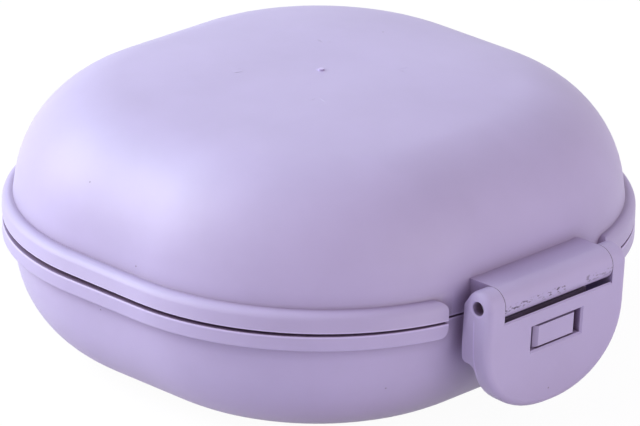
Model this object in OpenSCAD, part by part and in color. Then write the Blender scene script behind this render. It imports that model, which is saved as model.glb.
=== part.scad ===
// Travel soap dish: a shallow moulded box with a domed lid, a pinned hinge at the back,
// a swinging latch at the front, a seal in the lid's rim and a loose draining tray inside.
// The underside is at z = 0, the latch faces -Y and the hinge is at +Y.

/* [Body] */
// Width of the box across its rim
rim_w = 106; // [100:1:116]
// Depth of the box across its rim, without latch and hinge
rim_d = 104; // [100:1:114]
// Corner radius of the rim seen from above
corner_r = 43.3; // [40:0.1:45]
// Height of the base up to its rim face
base_h = 24; // [23.6:0.1:26]
// Height of the lid above the base's rim face
lid_h = 26.8; // [26.4:0.1:30]
// Thickness of the moulded walls
wall = 2; // [1.8:0.1:2.2]
// Draft angle of the side walls
draft = 8; // [6:0.5:10]
// Radius where the base's wall turns into its floor
floor_r = 20; // [17:0.5:20]
// Radius of the lid's shoulder
shoulder_r = 21; // [18:0.5:22]
// Steepness at which the shoulder turns into the low crown
crown_turn = 81.5; // [79:0.5:84]

/* [Rim] */
// How far the rim bands stand out from the walls
band_out = 1.9; // [1.6:0.1:2.2]
// Height of the base's rim band
base_band_h = 2.75; // [2.5:0.05:3.2]
// Height of the lid band's ledge above the base's rim face
lid_band_h = 4.2; // [3.9:0.1:4.5]
// Rounding of the lid band's upper edge
band_round = 1.5; // [1:0.1:1.6]
// Rounding of the edges beside the gap
lip_round = 0.2; // [0.15:0.05:0.3]
// Half length of the stretch without bands at the latch and the hinge
band_stop = 19.7; // [19.3:0.1:21]
// Gap between the two rims at the latch
gap_front = 0.4; // [0.3:0.05:0.6]
// Angle by which the closed lid sits proud at its hinge
lid_tilt = 0.5; // [0.3:0.05:0.6]
// Rounding of the bands' ends as seen from the front
band_end_r = 2; // [1.5:0.1:2.5]
// Height of the sealing bead on the base's rim
bead_h = 1.2; // [0.8:0.1:1.3]
// Thickness of the seal in the lid's groove
seal_h = 1.6; // [1.4:0.1:1.7]

/* [Latch] */
// Half width of the latch
latch_half = 17.4; // [16.8:0.1:17.6]
// Height of the latch plate's rounded lower lobe
lobe_h = 14.4; // [13:0.1:15]
// Fullness of the lobe: 2 is an ellipse, more is squarer
lobe_full = 2.17; // [2:0.01:2.5]
// How far the latch plate hangs below the base's rim face
flap_drop = 18.35; // [17.5:0.05:19]
// Angle by which the shut latch leans in towards the base
flap_lean = 3.2; // [2.5:0.1:3.5]
// Thickness of the latch plate
plate_t = 1.8; // [1.6:0.1:2]
// Width of each latch ear
ear_w = 3.8; // [3.4:0.1:4]
// Distance of the pin axes outside the rim
axis_out = 3.25; // [3:0.05:3.4]
// Height of the latch pin's axis above the base's rim face
latch_up = 3.3; // [3.1:0.1:3.5]
// Radius of the barrels around the pins
nose_r = 3; // [2.9:0.05:3.05]
// Diameter of the steel pins
pin_d = 2.4; // [2:0.1:2.6]
// Radial clearance of the pins in their bores
pin_clear = 0.05; // [0.04:0.01:0.08]
// How far the latch pin's ends lie inside the ears
pin_recess = 2.2; // [1.5:0.1:2.5]
// Width of the window in the latch plate
window_w = 12.5; // [12:0.1:14]
// Height of the window in the latch plate
window_h = 4.6; // [4.5:0.05:5]
// Width of the catch that fills the window
catch_w = 10.3; // [9.5:0.1:10.8]
// Height of the catch that fills the window
catch_h = 4.2; // [3.8:0.05:4.3]

/* [Hinge] */
// Height of the hinge pin's axis above the base's rim face
hinge_up = 0.3; // [0.2:0.1:0.6]
// Opening angle at which the knuckle's heel meets the base
hinge_stop = 120; // [110:5:125]

/* [Tray] */
// Height of the tray's plate above the table
tray_z = 8; // [7.5:0.5:9]
// Thickness of the tray's plate
tray_t = 1.6; // [1.4:0.1:2]
// Number of drain slots on each side of the middle slot
slot_pairs = 3; // [2:1:3]
// Width of a drain slot
slot_w = 3.6; // [3:0.2:4.4]

/* [Hidden] */
$fn = 72;
lavender = [0.79, 0.75, 0.9];
steel = [0.75, 0.75, 0.77];
silicone = [0.86, 0.84, 0.9];
core_x = rim_w / 2 - corner_r;
core_y = rim_d / 2 - corner_r;
wall_r = corner_r - band_out;
// Rim joint: flange, groove and bead run round inside the walls
flange_in = 5.4;
groove_from = 2.8;
groove_to = 4.4;
groove_h = 2.6;
groove_play = 0.2;
bead_play = 0.15;
rim_z = base_h + gap_front;
ledge_z = base_h + lid_band_h;
// Latch and hinge
axis_y = rim_d / 2 + axis_out;
latch_z = base_h + latch_up;
hinge_z = base_h + hinge_up;
front_y = -axis_y - nose_r;
bore_r = pin_d / 2 + pin_clear;
side_gap = 0.1;
slot_half = latch_half - ear_w;
barrel_half = slot_half - side_gap;
barrel_under = 2.05;
web_root = 0.6;
web_lift = 0.25;
lug_root = 1;
lug_drop = 9.5;
lug_top = 0.6;
edge_r = 1.3;
edge_steps = 4;
slice_t = 0.01;
skirt_d = 3.4;
skirt_t = 1.8;
ear_depth = 2 * nose_r;
ear_bottom = base_h - 7.65;
ear_corner = 0.8;
foot_r = 1.3;
plate_top = base_h + 0.45;
plate_slope = 1.6;
window_top = base_h - 2.35;
window_chamfer = 0.35;
catch_foot = 0.1;
catch_bottom = window_top - window_h + catch_foot;
catch_round = 0.75;
pad_half = 10.8;
pad_out = 2.6;
pad_top = base_h - 0.9;
pad_bottom = base_h - 9.6;
bore_chamfer = 0.25;
heel_gap = 0.3;
heel_back = 0.9;
catch_back = 0.2;
slot_lip = 0.3;
hinge_recess = 0.5;
over = 1;

// Points of an arc round a centre, from one angle to another
function arc(c, r, a0, a1, n) =
    [for (i = [0:n]) let (a = a0 + (a1 - a0) * i / n) c + r * [cos(a), sin(a)]];

// Lid section: straight drafted wall, shoulder arc, then a crown arc centred over the corner's axis
crown_rise = (1 - sin(crown_turn)) / cos(crown_turn);
shoulder_in = shoulder_r * (cos(draft) - cos(crown_turn));
lid_rise = lid_h - lid_band_h - shoulder_r * (sin(crown_turn) - sin(draft));
lid_line = (lid_rise - (wall_r - shoulder_in) * crown_rise) / (cos(draft) - sin(draft) * crown_rise);
shoulder_foot = [wall_r - lid_line * sin(draft), ledge_z + lid_line * cos(draft)];
shoulder_c = shoulder_foot - shoulder_r * [cos(draft), sin(draft)];
crown_r = (shoulder_c[0] + shoulder_r * cos(crown_turn)) / cos(crown_turn);
crown_c = [0, base_h + lid_h - crown_r];
lid_top = base_h + lid_h;

function dome_points(inward, n) = concat(
    arc(shoulder_c, shoulder_r - inward, draft, crown_turn, n),
    [for (i = [1:4]) let (a = crown_turn + (90 - crown_turn) * i / 4)
        crown_c + (crown_r - inward) * [cos(a), sin(a)]]);
function lid_inner_r(z) = shoulder_c[0] + (shoulder_r - wall) * cos(draft)
    + (shoulder_c[1] + (shoulder_r - wall) * sin(draft) - z) * tan(draft);

// Base section: drafted wall, then one arc down to the flat floor
straight_h = base_h - base_band_h - floor_r * (1 - sin(draft));
floor_c = [wall_r - straight_h * tan(draft) - floor_r * cos(draft), floor_r];
function bowl_points(inward, n) = arc(floor_c, floor_r - inward, -90, -draft, n);
function base_inner_r(z) = z < floor_r
    ? floor_c[0] + sqrt(pow(floor_r - wall, 2) - pow(floor_r - z, 2))
    : floor_c[0] + (floor_r - wall) * cos(draft)
        + (z - floor_r + (floor_r - wall) * sin(draft)) * tan(draft);

// How far the wall of section radius r stands from the middle at a given x
function wall_reach(x, r) = core_y + sqrt(pow(r, 2) - pow(max(x - core_x, 0), 2));

function reversed(p) = [for (i = [len(p) - 1:-1:0]) p[i]];

// Carries a section drawn in (distance from the corner's axis, height) round the whole box
module round_the_box() {
    for (k = [0:3]) {
        a = k % 2 == 0 ? core_x : core_y;
        b = k % 2 == 0 ? core_y : core_x;
        rotate([0, 0, 90 * k]) translate([a, b, 0]) {
            rotate_extrude(angle = 90) children();
            rotate([90, 0, 0]) linear_extrude(height = 2 * b) children();
        }
    }
}

// A profile drawn in (y, z) and run along X, centred
module along_x(half) {
    translate([-half, 0, 0]) rotate([90, 0, 90]) linear_extrude(height = 2 * half) children();
}

module pin_bore(y, z, half) {
    translate([-half, y, z]) rotate([0, 90, 0]) cylinder(r = bore_r, h = 2 * half);
}

// Everything that is moulded square to the lid, turned so that the back of the lid sits proud
module seated_lid() {
    translate([0, -rim_d / 2, rim_z]) rotate([lid_tilt, 0, 0]) translate([0, rim_d / 2, -rim_z]) children();
}

module lid_section() {
    cover_z = rim_z + groove_h + wall / 2;
    cover_r = corner_r - flange_in;
    inner_r = lid_inner_r(cover_z);
    polygon(concat(
        [[wall_r, rim_z], [wall_r, ledge_z]],
        dome_points(0, 16),
        reversed(dome_points(wall, 16)),
        [[inner_r, cover_z + inner_r - cover_r], [cover_r, cover_z], [cover_r, rim_z]]));
}

// Groove for the seal, cut last so that it runs clear past the barrel's and the knuckle's roots
module lid_groove_section() {
    translate([corner_r - groove_to, rim_z - over]) square([groove_to - groove_from, groove_h + over]);
}

module lid_band_section() {
    polygon(concat(
        [[wall_r - wall / 4, rim_z]],
        arc([corner_r - lip_round, rim_z + lip_round], lip_round, -90, 0, 4),
        arc([corner_r - band_round, ledge_z - band_round], band_round, 0, 90, 8),
        [[wall_r - wall / 4, ledge_z]]));
}

module base_section() {
    flange_z = base_h - base_band_h;
    flange_r = corner_r - flange_in;
    inner_r = base_inner_r(flange_z);
    bead_r = (groove_to - groove_from) / 2 - bead_play;
    polygon(concat(
        [[0, 0]],
        bowl_points(0, 18),
        [[wall_r, base_h - base_band_h], [wall_r, base_h], [corner_r - groove_from - bead_play, base_h]],
        arc([corner_r - (groove_from + groove_to) / 2, base_h + bead_h - bead_r], bead_r, 0, 180, 8),
        [[corner_r - groove_to + bead_play, base_h], [flange_r, base_h], [flange_r, flange_z],
         [inner_r, flange_z - inner_r + flange_r]],
        reversed(bowl_points(wall, 18)),
        [[0, wall]]));
}

module base_band_section() {
    low = base_h - base_band_h;
    polygon(concat(
        [[wall_r - wall / 4, low]],
        arc([corner_r - 2 * lip_round, low + 2 * lip_round], 2 * lip_round, -90, 0, 4),
        arc([corner_r - lip_round, base_h - lip_round], lip_round, 0, 90, 4),
        [[wall_r - wall / 4, base_h]]));
}

// Clears the band away at the latch and the hinge, with rounded ends; far_z is the band's free edge
module band_gap(far_z) {
    up = far_z > base_h ? 1 : -1;
    half = band_stop + band_end_r;
    ends = arc([-half, far_z - up * band_end_r], band_end_r, up * 90, 0, 8);
    low = far_z - up * 2 * lid_band_h;
    rotate([90, 0, 0]) translate([0, 0, -rim_d]) linear_extrude(height = 2 * rim_d)
        polygon(concat([[-half, far_z + up * over]], ends, [[-band_stop, low], [band_stop, low]],
            reversed([for (p = ends) [-p[0], p[1]]]), [[half, far_z + up * over]]));
}

// The rounded barrel with its web running back to the wall: drawn for the latch side
module barrel_section(z, back_y) {
    difference() {
        union() {
            translate([-axis_y, z]) circle(r = nose_r);
            translate([-axis_y, z - nose_r]) square([axis_y + back_y, 2 * nose_r]);
        }
        translate([-2 * axis_y, z - barrel_under - nose_r]) square([4 * axis_y, nose_r]);
    }
}

// Lug round the hinge pin, with a web into the wall that slopes back below
module hinge_lug_section() {
    foot_z = base_h - lug_drop;
    polygon(concat(
        [[wall_reach(latch_half, base_inner_r(foot_z)) + lug_root, foot_z]],
        arc([axis_y, hinge_z], nose_r, -45, 190, 24),
        [[wall_reach(latch_half, wall_r) - lug_root, base_h - lug_top]]));
}

module knuckle_section() {
    root_y = wall_reach(barrel_half, wall_r) - web_root;
    reach = axis_out + band_out - heel_gap;
    heel_a = 180 + hinge_stop;
    web_z = rim_z + rim_d * tan(lid_tilt) + web_lift;
    translate([axis_y, hinge_z]) circle(r = nose_r);
    translate([root_y, web_z]) square([axis_y - root_y, hinge_z + nose_r - web_z]);
    translate([axis_y, hinge_z]) polygon([[0, 0], [-heel_back, 0], [-heel_back, reach * sin(heel_a)],
        reach * [cos(heel_a), sin(heel_a)], [reach * cos(heel_a), 0]]);
}

// Outline of the latch plate seen from the front, drawn in (x, z)
module flap_outline(inset) {
    lobe_z = base_h - flap_drop + lobe_h;
    polygon(concat(
        [for (i = [0:32]) let (a = 180 * i / 32, c = cos(a), e = 2 / lobe_full)
            [-sign(c) * pow(abs(c), e) * (latch_half - inset), lobe_z - pow(sin(a), e) * (lobe_h - inset)]],
        [[latch_half - inset, latch_z], [-latch_half + inset, latch_z]]));
}

// Turned about the latch pin, as the shut latch hangs
module latch_lean() {
    translate([0, -axis_y, latch_z]) rotate([flap_lean, 0, 0]) translate([0, axis_y, -latch_z]) children();
}

// A thin slice of the latch at a depth behind its front
module flap_slice(depth, inset) {
    translate([0, front_y + depth + slice_t, 0]) rotate([90, 0, 0])
        linear_extrude(height = slice_t) flap_outline(inset);
}

function edge_depth(i) = edge_r * (1 - cos(90 * i / edge_steps));
function edge_inset(i) = edge_r * (1 - sin(90 * i / edge_steps));

// Plate and ears in one: rolled front edge, round top about the pin, then cut back below the ears
module flap_body() {
    back_y = front_y + skirt_d;
    rear_y = front_y + ear_depth;
    low_z = base_h - flap_drop - over;
    difference() {
        hull() {
            for (i = [0:edge_steps]) {
                half = latch_half - edge_depth(edge_steps - i);
                flap_slice(edge_depth(i), edge_inset(i));
                translate([-half, -axis_y, latch_z]) rotate([0, 90, 0])
                    cylinder(r = nose_r - edge_inset(edge_steps - i), h = 2 * half, $fn = 48);
            }
            flap_slice(ear_depth - slice_t, 0);
        }
        along_x(latch_half + over) polygon(concat(
            [[rear_y + over, ear_bottom + ear_corner]],
            arc([rear_y - ear_corner, ear_bottom + ear_corner], ear_corner, 0, -90, 6),
            arc([back_y + foot_r, ear_bottom - foot_r], foot_r, 90, 180, 6),
            [[back_y, low_z], [rear_y + over, low_z]]));
    }
}

// Hollow behind the latch plate, up to the ears
module flap_hollow() {
    translate([0, front_y + plate_t + ear_depth, 0]) rotate([90, 0, 0]) linear_extrude(height = ear_depth)
        intersection() {
            flap_outline(skirt_t);
            translate([-slot_half, 0]) square([2 * slot_half, latch_z]);
        }
    translate([-slot_half, front_y + plate_t, ear_bottom]) cube([2 * slot_half, ear_depth, latch_z]);
}

module flap_slot() {
    back_y = front_y + ear_depth + over;
    high = latch_z + nose_r + over;
    along_x(slot_half) polygon([
        [front_y - over, plate_top - slot_lip - over], [front_y + slot_lip, plate_top],
        [front_y + slot_lip + plate_slope, plate_top - plate_slope], [back_y, plate_top - plate_slope],
        [back_y, high], [front_y - over, high]]);
}

module flap_window() {
    low = window_top - window_h;
    translate([-window_w / 2, front_y - over, low]) cube([window_w, plate_t + 2 * over, window_h]);
    hull() {
        translate([-window_w / 2, front_y + window_chamfer, low]) cube([window_w, slice_t, window_h]);
        translate([-window_w / 2 - window_chamfer, front_y - slice_t, low - window_chamfer])
            cube([window_w + 2 * window_chamfer, slice_t, window_h + 2 * window_chamfer]);
    }
}

module base_shell() {
    color(lavender) difference() {
        union() {
            round_the_box() base_section();
            translate([-core_x, -core_y, 0]) cube([2 * core_x, 2 * core_y, wall]);
            difference() {
                round_the_box() base_band_section();
                band_gap(base_h - base_band_h);
            }
            catch_pad();
            for (s = [-1, 1]) translate([s * (latch_half + slot_half) / 2, 0, 0])
                along_x(ear_w / 2) hinge_lug_section();
        }
        pin_bore(axis_y, hinge_z, rim_w / 4);
    }
}

// Pad on the front wall with the catch that the latch's window drops over
module catch_pad() {
    root_y = -wall_reach(pad_half, base_inner_r(pad_bottom)) - lug_root;
    pad_y = -rim_d / 2 - pad_out;
    catch_y = front_y + catch_back;
    translate([-pad_half, pad_y, pad_bottom]) cube([2 * pad_half, root_y - pad_y, pad_top - pad_bottom]);
    latch_lean() hull() {
        translate([-catch_w / 2, catch_y + catch_round, catch_bottom])
            cube([catch_w, pad_y - catch_y, catch_h]);
        translate([-catch_w / 2 + catch_round, catch_y, catch_bottom + catch_round / 2])
            cube([catch_w - 2 * catch_round, catch_round, catch_h - catch_round / 2]);
    }
}

module lid_shell() {
    color(lavender) difference() {
        union() {
            seated_lid() {
                round_the_box() lid_section();
                translate([-core_x, -core_y, lid_top - wall]) cube([2 * core_x, 2 * core_y, wall]);
                difference() {
                    round_the_box() lid_band_section();
                    band_gap(ledge_z);
                }
                gate_mark();
            }
            along_x(barrel_half) barrel_section(latch_z, web_root - wall_reach(barrel_half, wall_r));
            along_x(barrel_half) knuckle_section();
        }
        seated_lid() round_the_box() lid_groove_section();
        pin_bore(-axis_y, latch_z, rim_w / 4);
        pin_bore(axis_y, hinge_z, rim_w / 4);
    }
}

// Small nub left where the plastic entered the mould
module gate_mark() {
    translate([0, 0, lid_top - 0.1]) cylinder(r = 0.5, h = 0.4, $fn = 24);
}

module latch_flap() {
    color(lavender) latch_lean() difference() {
        flap_body();
        flap_hollow();
        flap_slot();
        flap_window();
        pin_bore(-axis_y, latch_z, rim_w / 4);
        for (s = [-1, 1]) translate([s * latch_half, -axis_y, latch_z]) rotate([0, -s * 90, 0])
            cylinder(r1 = bore_r + bore_chamfer, r2 = bore_r, h = bore_chamfer);
    }
}

module latch_pin() {
    half = latch_half - pin_recess;
    color(steel) translate([-half, -axis_y, latch_z]) rotate([0, 90, 0]) cylinder(d = pin_d, h = 2 * half);
}

module hinge_pin() {
    half = latch_half - hinge_recess;
    color(steel) translate([-half, axis_y, hinge_z]) rotate([0, 90, 0]) cylinder(d = pin_d, h = 2 * half);
}

module seal_ring() {
    low = rim_z + groove_h - seal_h;
    outer = corner_r - groove_from - groove_play / 4;
    inner = corner_r - groove_to + groove_play / 4;
    color(silicone) seated_lid() round_the_box()
        polygon([[inner, low + groove_play], [inner + groove_play, low], [outer - groove_play, low],
                 [outer, low + groove_play], [outer, rim_z + groove_h], [inner, rim_z + groove_h]]);
}

// Tray: slots and ribs stay inside its lip, posts stand on the flat of the floor
tray_play = 0.8;
tray_margin = 9;
tray_r = base_inner_r(tray_z) - tray_play;
tray_lip_h = 3;
tray_lip_t = 1.5;
tray_post_r = 2.5;
rib_t = 1.4;
rib_h = 1;
slot_pitch = (core_x + tray_r - tray_margin) / (slot_pairs + 0.6);
post_x = (slot_pairs - 0.5) * slot_pitch;
post_y = core_y + floor_c[0] * 0.45;
function slot_half_len(x) = core_y + sqrt(pow(tray_r - tray_margin, 2) - pow(max(abs(x) - core_x, 0), 2));

// A plate with the box's own rounded outline
module box_plate(r, z, h) {
    translate([0, 0, z]) linear_extrude(height = h) {
        for (x = [-1, 1], y = [-1, 1]) translate([x * core_x, y * core_y]) circle(r = r);
        square([2 * core_x, 2 * (core_y + r)], center = true);
        square([2 * (core_x + r), 2 * core_y], center = true);
    }
}

module drain_slot(x) {
    half = slot_half_len(x);
    translate([x, 0, 0]) {
        translate([-slot_w / 2, -half, 0]) cube([slot_w, 2 * half, 2 * base_h]);
        for (s = [-1, 1]) translate([0, s * half, 0]) cylinder(r = slot_w / 2, h = 2 * base_h);
    }
}

module drain_tray() {
    color(lavender) difference() {
        union() {
            box_plate(tray_r, tray_z, tray_t);
            difference() {
                box_plate(tray_r, tray_z, tray_lip_h);
                box_plate(tray_r - tray_lip_t, tray_z + tray_t / 2, tray_lip_h);
            }
            for (x = [-1, 1], y = [-1, 1]) translate([x * post_x, y * post_y, wall])
                cylinder(r = tray_post_r, h = tray_z - wall + tray_t / 2);
            for (k = [-slot_pairs - 0.5:slot_pairs + 0.5]) {
                half = slot_half_len(k * slot_pitch);
                translate([k * slot_pitch - rib_t / 2, -half, tray_z + tray_t / 2])
                    cube([rib_t, 2 * half, tray_t / 2 + rib_h]);
            }
        }
        for (k = [-slot_pairs:slot_pairs]) drain_slot(k * slot_pitch);
    }
}

base_shell();
lid_shell();
latch_flap();
latch_pin();
hinge_pin();
seal_ring();
drain_tray();
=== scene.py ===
"""Looks of the travel soap box: camera, studio light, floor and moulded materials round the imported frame."""

import math

import bpy
from mathutils import Matrix, Vector

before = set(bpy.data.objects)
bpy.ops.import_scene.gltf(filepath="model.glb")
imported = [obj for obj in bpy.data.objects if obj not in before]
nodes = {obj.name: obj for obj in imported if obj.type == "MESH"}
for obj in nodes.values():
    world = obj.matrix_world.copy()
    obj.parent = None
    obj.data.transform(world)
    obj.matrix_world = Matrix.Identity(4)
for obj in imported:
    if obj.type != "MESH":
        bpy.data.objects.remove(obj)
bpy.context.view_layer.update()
scene = bpy.context.scene


def linear(r, g, b):
    """Linear colour from 0 to 255 display values."""
    out = []
    for v in (r, g, b):
        c = v / 255
        out.append(c / 12.92 if c <= 0.04045 else ((c + 0.055) / 1.055) ** 2.4)
    return (*out, 1.0)


def scaled(colour, k):
    """The colour made lighter or darker."""
    return tuple(min(1.0, v * k) for v in colour[:3]) + (1.0,)


# Colours of the plastic, of its two cloudy tones, and of the painted highlights on its edges and gate
LAVENDER = linear(196, 186, 226)
CLOUD_DARK, CLOUD_LIGHT = scaled(LAVENDER, 0.965), scaled(LAVENDER, 1.025)
PAINTED_HIGHLIGHT, PAINTED_GATE_HIGHLIGHT = scaled(LAVENDER, 1.3), scaled(LAVENDER, 1.2)

# Colours of the painted shade deep in narrow gaps and in broad corners, and of dark marks
PAINTED_GAP_SHADE = linear(84, 40, 62)
SHADE = linear(122, 86, 124)
MARK = linear(80, 64, 98)

# Colours of the pins, of the seal's two tones and of what the camera sees as white
STEEL = linear(190, 190, 194)
SEAL_DARK, SEAL_LIGHT = linear(198, 192, 206), linear(212, 206, 219)
WHITE = (1, 1, 1, 1)

# Noise patterns: cells in a metre, detail and roughness
CLOUD = (45, 4, 0.55)
GRAIN = (5200, 2, 0.6)
SWELL = (120, 2, 0.5)
RUBS = (2300, 3, 0.6)
RUB_GROUPS = (210, 1, 0.5)
WIRE_LINES = (9000, 3, 0.6)
BLOOM = (300, 3, 0.5)
BLOOM_GRAIN = (2600, 2, 0.5)

# The middle part of a noise pattern, which is spread over the whole range
SPREAD, CLOUD_SPREAD = (0.3, 0.7), (0.35, 0.65)

# Scales that draw a pattern out along x
RUB_STRETCH = (0.45, 1, 1)
WIRE_STRETCH = (0.05, 1, 1)

# Bumps: strength and height in metres
SWELL_BUMP = (0.12, 0.00035)
GRAIN_BUMP = (0.16, 0.00003)
EAR_BUMP = (0.4, 0.00005)
RUB_BUMP = (0.3, 0.00006)
WIRE_BUMP = (0.2, 0.00002)
BLOOM_BUMP = (0.15, 0.00003)

# Roughness, from the smooth to the dull parts of the grain
PLASTIC_ROUGH, WIRE_ROUGH = (0.42, 0.52), (0.24, 0.42)

# How plainly the dark specks, the painted highlights and parting line on the ears and the rub marks show
SPECK_SHOW, EAR_SHOW, RUB_SHOW = 0.6, 0.6, 0.9

# Painted shade in crevices, from ambient occlusion: how open a place is where it begins, and the share of that
# where it is full
OPEN, FULL_SHARE = 0.95, 0.26
AO_SAMPLES = 6
CORNER_REACH, CORNER_AMOUNT = 0.014, 0.3
GAP_REACH = 0.003

# Places are in metres; a pair in brackets is where a mark starts to show and where it is full

# Rims of the closed box, as in the part's source, and how high the painted highlight beside the gap is
BASE_RIM_Z, LID_RIM_Z = 0.024, 0.0244
LID_TILT = math.radians(0.5)
HALF_DEPTH = 0.052
RIM_HIGHLIGHT_H = (0.0004, 0.00016)

# The lid's band leans back by this slope, but not where the barrel stands in front of it
BAND_H, BAND_SLOPE = 0.0044, 0.3
BESIDE_BARREL = (0.0175, 0.0195)

# In front of this the gap round the catch gets less painted shade, as it is too shallow to darken much
CATCH_Y, CATCH_DARK = (-0.0555, -0.0545), 0.4

# Rub marks low on the barrel: their belt, the barrel's front and their fading to the right
RUB_BOTTOM, RUB_TOP = (0.0258, 0.0261), (0.0276, 0.0272)
RUB_FRONT = (-0.0568, -0.0574)
FADE_X, FADE_END = (0.002, 0.009), 0.45

# Values of their noise patterns that make a mark and a group of marks
RUB_RANGE, GROUP_RANGE = (0.54, 0.59), (0.46, 0.52)

# Dark specks: their radius and places
SPECK_R = 0.0002
LID_SPECKS = ((-0.0474, 0.0088, 0.0404), (0.0228, 0.0068, 0.0508), (-0.0509, -0.0064, 0.0302))
BASE_SPECKS = ((-0.0276, -0.0438, 0.0122), (-0.0508, 0.0025, 0.0194))
LATCH_SPECKS = ((-0.0011, -0.0572, 0.0085),)

# Moulding marks: the gate on the lid's top and the mouths of the pin's holes, lighter by a painted highlight,
# and the real parting line down the latch's ears, drawn as a painted highlight
GATE, GATE_R = (0, 0, 0.0515), 0.001
PIN_Y, PIN_Z, MOUTH_R = -0.05525, 0.0273, 0.00135
EAR_X = (0.0161, 0.0164)
MOUTH_BLUR = (0.0003, 0.0001)
PARTING_Y, PARTING_TOP = -0.0545, (0.0253, 0.0243)
PARTING_BLUR = (0.0002, 0.00008)

# Vertices closer than this are one, and edges sharper than this stay crisp
WELD_REACH = 0.000002
CRISP_ANGLE = math.radians(32)

# Camera, solved from the outline of the photographed box
AZIMUTH, ELEVATION, ROLL = -45.363, 21.885, 0.645
DISTANCE = 1.04076
TARGET = Vector((0, 0, 0.024904))
FOCAL_PX, WIDTH_PX, HEIGHT_PX = 5848.7, 640, 426
CENTRE_PX = (318.81, 208.33)
SENSOR_MM = 36
CLIP_NEAR, CLIP_FAR = 0.05, 20

# Square lamps, all as far from the box and as large: name, azimuth, elevation, power and colour
LAMP_TARGET = Vector((0, 0, 0.03))
LAMP_DISTANCE, LAMP_SIZE = 1.0, 0.7
LAMPS = (
    ("key_left", -140, 30, 8.5, (1, 1, 0.95)),
    ("back_soft", -160, 40, 2.5, (0.5, 0.94, 1)),
    ("front_soft", 12, 15, 2.9, (1, 0.95, 0.87)),
)
WORLD_COLOUR, WORLD_STRENGTH = (1, 0.86, 1, 1), 0.43

# Floor: half its width, how far it lies below the box and the colour that it throws back on the box
FLOOR_HALF, FLOOR_DROP = 6.0, 0.0002
FLOOR_BOUNCE = (0.76, 0.72, 0.78, 1)

# What the camera sees of the floor: its colour, its glow and the share of real shadow
FLOOR_PALE = linear(238, 238, 240)
FLOOR_GLOW, FLOOR_SHADOW = 1.03, 0.07


def direction(azimuth, elevation):
    """From the box towards the camera or a lamp, with azimuth 0 in front."""
    a, e = math.radians(azimuth), math.radians(elevation)
    return Vector((math.sin(a) * math.cos(e), -math.cos(a) * math.cos(e), math.sin(e)))


def make_camera():
    """The photo's camera, with its small roll and shift."""
    a, r = math.radians(AZIMUTH), math.radians(ROLL)
    back = direction(AZIMUTH, ELEVATION)
    right = Vector((math.cos(a), math.sin(a), 0))
    up = back.cross(right)
    turned_right = right * math.cos(r) + up * math.sin(r)
    turned_up = up * math.cos(r) - right * math.sin(r)
    data = bpy.data.cameras.new("camera")
    data.sensor_width = SENSOR_MM
    data.lens = FOCAL_PX / WIDTH_PX * SENSOR_MM
    data.shift_x = (WIDTH_PX / 2 - CENTRE_PX[0]) / WIDTH_PX
    data.shift_y = (CENTRE_PX[1] - HEIGHT_PX / 2) / WIDTH_PX
    data.clip_start, data.clip_end = CLIP_NEAR, CLIP_FAR
    cam = bpy.data.objects.new("camera", data)
    scene.collection.objects.link(cam)
    m = Matrix((turned_right, turned_up, back)).transposed().to_4x4()
    m.translation = TARGET + back * DISTANCE
    cam.matrix_world = m
    scene.camera = cam


class Nodes:
    """Short way to write the node tree of a material or of the world."""

    def __init__(self, owner, output="ShaderNodeOutputMaterial"):
        owner.use_nodes = True
        self.owner = owner
        self.tree = owner.node_tree
        self.tree.nodes.clear()
        self.out = self.add(output)

    def add(self, kind, inputs=None, **props):
        node = self.tree.nodes.new(kind)
        for k, v in props.items():
            setattr(node, k, v)
        for k, v in (inputs or {}).items():
            if isinstance(v, bpy.types.NodeSocket):
                self.tree.links.new(v, node.inputs[k])
            else:
                node.inputs[k].default_value = v
        return node

    def surface(self, shader):
        """Puts the shader on the output and gives back the material or the world."""
        self.tree.links.new(shader.outputs[0], self.out.inputs["Surface"])
        return self.owner

    def maths(self, operation, a, b=0.0, c=0.0):
        return self.add("ShaderNodeMath", {0: a, 1: b, 2: c}, operation=operation).outputs[0]

    def times(self, a, b):
        return self.maths("MULTIPLY", a, b)

    def blend(self, factor, a, b):
        return self.add("ShaderNodeMix", {0: factor, 6: a, 7: b}, data_type="RGBA").outputs[2]

    def mixed(self, factor, a, b):
        """Shader a where the factor is 0 and shader b where it is 1."""
        return self.add("ShaderNodeMixShader", {0: factor, 1: a.outputs[0], 2: b.outputs[0]})

    def point(self):
        return self.add("ShaderNodeTexCoord").outputs["Object"]

    def axes(self):
        return self.add("ShaderNodeSeparateXYZ", {0: self.point()}).outputs

    def stretched(self, scale):
        return self.add("ShaderNodeMapping", {"Vector": self.point(), "Scale": scale}).outputs["Vector"]

    def noise(self, scale, detail, roughness, vector=None):
        return self.add(
            "ShaderNodeTexNoise",
            {"Vector": vector or self.point(), "Scale": scale, "Detail": detail, "Roughness": roughness},
        ).outputs["Fac"]

    def ramp(self, value, low, high, to_low=0.0, to_high=1.0):
        return self.add(
            "ShaderNodeMapRange",
            {"Value": value, "From Min": low, "From Max": high, "To Min": to_low, "To Max": to_high},
        ).outputs["Result"]

    def bump(self, height, strength, distance, normal=None):
        inputs = {"Height": height, "Strength": strength, "Distance": distance}
        if normal is not None:
            inputs["Normal"] = normal
        return self.add("ShaderNodeBump", inputs).outputs["Normal"]

    def shown(self):
        """1 for the rays by which the camera, a mirror or glass sees the background, 0 for light."""
        rays = self.add("ShaderNodeLightPath").outputs
        either = self.maths("MAXIMUM", rays["Is Camera Ray"], rays["Is Glossy Ray"])
        return self.maths("MAXIMUM", either, rays["Is Transmission Ray"])


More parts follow.
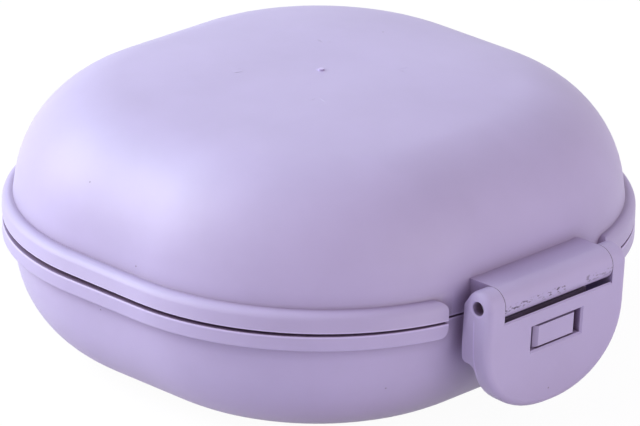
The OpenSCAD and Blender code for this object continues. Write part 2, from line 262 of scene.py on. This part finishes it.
def painted_crevice_shade(n, reach, amount, begin=OPEN):
    """Painted shade from ambient occlusion: the amount deep inside a gap or a corner as wide as the reach, 0
    where more than begin is open.
    """
    open_sky = n.add("ShaderNodeAmbientOcclusion", {"Distance": reach}, samples=AO_SAMPLES).outputs["AO"]
    return n.ramp(open_sky, begin, begin * FULL_SHARE, 0.0, amount)


def near(n, place, radius):
    """1 close to a place, 0 farther away than the radius."""
    away = n.add("ShaderNodeVectorMath", {0: n.point(), 1: place}, operation="DISTANCE").outputs["Value"]
    return n.ramp(away, radius, radius * 0.5)


def specks(n, places):
    """Dark dust specks caught in the moulding."""
    dust = 0.0
    for place in places:
        dust = n.maths("MAXIMUM", dust, near(n, place, SPECK_R))
    return dust


def ear_highlights_and_line(n):
    """Painted highlights on the mouths of the pin's holes and on the real parting line below them, on the
    latch's ears.
    """
    x, y, z = n.axes()
    side = n.ramp(n.maths("ABSOLUTE", x), *EAR_X)
    from_pin = n.maths("SUBTRACT", y, PIN_Y), n.maths("SUBTRACT", z, PIN_Z)
    squares = n.maths("ADD", n.maths("POWER", from_pin[0], 2), n.maths("POWER", from_pin[1], 2))
    off_mouth = n.maths("ABSOLUTE", n.maths("SUBTRACT", n.maths("SQRT", squares), MOUTH_R))
    mouth = n.ramp(off_mouth, *MOUTH_BLUR)
    off_line = n.maths("ABSOLUTE", n.maths("SUBTRACT", y, PARTING_Y))
    line = n.times(n.ramp(off_line, *PARTING_BLUR), n.ramp(z, *PARTING_TOP))
    return n.times(side, n.maths("MAXIMUM", mouth, line))


def rub_marks(n):
    """Short dark rub marks in a row low on the barrel, where the latch's slot edge passes."""
    x, y, z = n.axes()
    belt = n.times(n.ramp(z, *RUB_BOTTOM), n.ramp(z, *RUB_TOP))
    place = n.times(belt, n.ramp(y, *RUB_FRONT))
    marks = n.ramp(n.noise(*RUBS, n.stretched(RUB_STRETCH)), *RUB_RANGE)
    groups = n.ramp(n.noise(*RUB_GROUPS), *GROUP_RANGE)
    fading = n.ramp(x, *FADE_X, 1.0, FADE_END)
    return n.times(n.times(place, fading), n.times(marks, groups))


def painted_rim_highlight(n, rim_z, tilt, up):
    """1 on the thin moulded edge beside the gap, where a painted highlight makes it lighter than the band."""
    _, y, z = n.axes()
    face = n.maths("MULTIPLY_ADD", n.maths("ADD", y, HALF_DEPTH), math.tan(tilt), rim_z)
    height = n.times(n.maths("SUBTRACT", z, face), up)
    return n.ramp(height, *RIM_HIGHLIGHT_H)


def band_draft(n):
    """Height of the slight draft on the lid's band, whose face leans back a little."""
    x, _, z = n.axes()
    beside_barrel = n.ramp(n.maths("ABSOLUTE", x), *BESIDE_BARREL)
    return n.times(beside_barrel, n.ramp(z, LID_RIM_Z, LID_RIM_Z + BAND_H, 1.0, 0.0))


def plastic(name, dust, deep, begin=OPEN, edge=None, scuffed_with_gate_highlight=False, eared=False, catch=False):
    """Satin moulded plastic: a faint cloudiness, a fine grain, specks, painted shade in the gaps and corners,
    and painted highlights where asked.
    """
    n = Nodes(bpy.data.materials.new(name))
    cloud, grain, swell = n.noise(*CLOUD), n.noise(*GRAIN), n.noise(*SWELL)
    base = n.blend(n.ramp(cloud, *CLOUD_SPREAD), CLOUD_DARK, CLOUD_LIGHT)
    if dust:
        base = n.blend(n.times(specks(n, dust), SPECK_SHOW), base, MARK)
    height = n.bump(swell, *SWELL_BUMP)
    # Painted highlight along the rim beside the gap
    if edge:
        base = n.blend(painted_rim_highlight(n, *edge), base, PAINTED_HIGHLIGHT)
    if scuffed_with_gate_highlight:
        height = n.bump(band_draft(n), 1.0, BAND_H * BAND_SLOPE, height)
    if eared:
        # Painted highlights on the holes' mouths and on the parting line, with a bump on them
        marks = ear_highlights_and_line(n)
        base = n.blend(n.times(marks, EAR_SHOW), base, PAINTED_HIGHLIGHT)
        height = n.bump(marks, *EAR_BUMP, height)
    # Painted shade in broad corners and deep in narrow gaps, from ambient occlusion, with less of it round the
    # catch
    base = n.blend(painted_crevice_shade(n, CORNER_REACH, CORNER_AMOUNT), base, SHADE)
    dark = painted_crevice_shade(n, GAP_REACH, deep, begin)
    if catch:
        dark = n.times(dark, n.ramp(n.axes()[1], *CATCH_Y, CATCH_DARK, 1.0))
    base = n.blend(dark, base, PAINTED_GAP_SHADE)
    if scuffed_with_gate_highlight:
        marks = rub_marks(n)
        base = n.blend(n.times(marks, RUB_SHOW), base, MARK)
        height = n.bump(marks, *RUB_BUMP, height)
        # Painted highlight on the gate mark
        base = n.blend(near(n, GATE, GATE_R), base, PAINTED_GATE_HIGHLIGHT)
    shader = n.add(
        "ShaderNodeBsdfPrincipled",
        {
            "Base Color": base,
            "Roughness": n.ramp(grain, *SPREAD, *PLASTIC_ROUGH),
            "Normal": n.bump(grain, *GRAIN_BUMP, height),
            "Subsurface Weight": 0.12,
            "Subsurface Radius": (1.0, 0.85, 1.1),
            "Subsurface Scale": 0.0012,
        },
    )
    return n.surface(shader)


def steel(name):
    """Drawn wire with fine lines along it."""
    n = Nodes(bpy.data.materials.new(name))
    lines = n.noise(*WIRE_LINES, n.stretched(WIRE_STRETCH))
    shader = n.add(
        "ShaderNodeBsdfPrincipled",
        {
            "Base Color": STEEL,
            "Metallic": 1.0,
            "Roughness": n.ramp(lines, *SPREAD, *WIRE_ROUGH),
            "Normal": n.bump(lines, *WIRE_BUMP),
        },
    )
    return n.surface(shader)


def silicone(name):
    """Pale soft seal with a faint bloom on it."""
    n = Nodes(bpy.data.materials.new(name))
    shader = n.add(
        "ShaderNodeBsdfPrincipled",
        {
            "Base Color": n.blend(n.ramp(n.noise(*BLOOM), *SPREAD), SEAL_DARK, SEAL_LIGHT),
            "Roughness": 0.62,
            "Normal": n.bump(n.noise(*BLOOM_GRAIN), *BLOOM_BUMP),
            "Sheen Weight": 0.2,
        },
    )
    return n.surface(shader)


def smooth_shading():
    """Rounds shade smoothly and real edges stay crisp."""
    for o in nodes.values():
        o.data.shade_smooth()
        weld = o.modifiers.new("weld", "WELD")
        weld.merge_threshold = WELD_REACH
        split = o.modifiers.new("crisp", "EDGE_SPLIT")
        split.use_edge_sharp = False
        split.split_angle = CRISP_ANGLE
        o.modifiers.new("weighted", "WEIGHTED_NORMAL")


def make_stage():
    """A wide flat floor, white to the camera but for a little of the box's shadow."""
    n = Nodes(bpy.data.materials.new("floor_white"))
    bounce = n.add("ShaderNodeBsdfDiffuse", {"Color": FLOOR_BOUNCE})
    pale = n.add("ShaderNodeBsdfDiffuse", {"Color": FLOOR_PALE})
    glow = n.add("ShaderNodeEmission", {"Color": WHITE, "Strength": FLOOR_GLOW})
    white = n.mixed(FLOOR_SHADOW, glow, pale)
    mesh = bpy.data.meshes.new("floor")
    s = FLOOR_HALF
    mesh.from_pydata([(-s, -s, 0), (s, -s, 0), (s, s, 0), (-s, s, 0)], [], [(0, 1, 2, 3)])
    mesh.materials.append(n.surface(n.mixed(n.shown(), bounce, white)))
    floor = bpy.data.objects.new("floor", mesh)
    floor.location.z = -FLOOR_DROP
    scene.collection.objects.link(floor)


def make_world():
    """Even soft light from all round, white where it is seen as the background."""
    n = Nodes(bpy.data.worlds.new("studio"), "ShaderNodeOutputWorld")
    lit = n.add("ShaderNodeBackground", {"Color": WORLD_COLOUR, "Strength": WORLD_STRENGTH})
    white = n.add("ShaderNodeBackground", {"Color": WHITE})
    scene.world = n.surface(n.mixed(n.shown(), lit, white))


def area_light(name, azimuth, elevation, power, colour):
    """A soft square lamp aimed at the box."""
    data = bpy.data.lights.new(name, "AREA")
    data.size = LAMP_SIZE
    data.energy = power
    data.color = colour
    back = direction(azimuth, elevation)
    lamp = bpy.data.objects.new(name, data)
    lamp.location = LAMP_TARGET + back * LAMP_DISTANCE
    lamp.rotation_mode = "QUATERNION"
    lamp.rotation_quaternion = back.to_track_quat("Z", "Y")
    scene.collection.objects.link(lamp)


scene.view_settings.view_transform = "Standard"
make_camera()
make_world()
make_stage()
for lamp in LAMPS:
    area_light(*lamp)
smooth_shading()

wire = steel("pin_steel")
looks = {
    # The number after each part's specks is how strong the painted shade in its narrow gaps is
    "lid_shell": plastic("lavender_lid", LID_SPECKS, 0.6, edge=(LID_RIM_Z, LID_TILT, 1), scuffed_with_gate_highlight=True),
    "base_shell": plastic("lavender_base", BASE_SPECKS, 0.7, edge=(BASE_RIM_Z, 0.0, -1), catch=True),
    "latch_flap": plastic("lavender_latch", LATCH_SPECKS, 0.85, 0.5, eared=True),
    "drain_tray": plastic("lavender_tray", (), 0.4),
    "latch_pin": wire,
    "hinge_pin": wire,
    "seal_ring": silicone("seal_silicone"),
}
for name, mat in looks.items():
    slots = nodes[name].data.materials
    slots.clear()
    slots.append(mat)
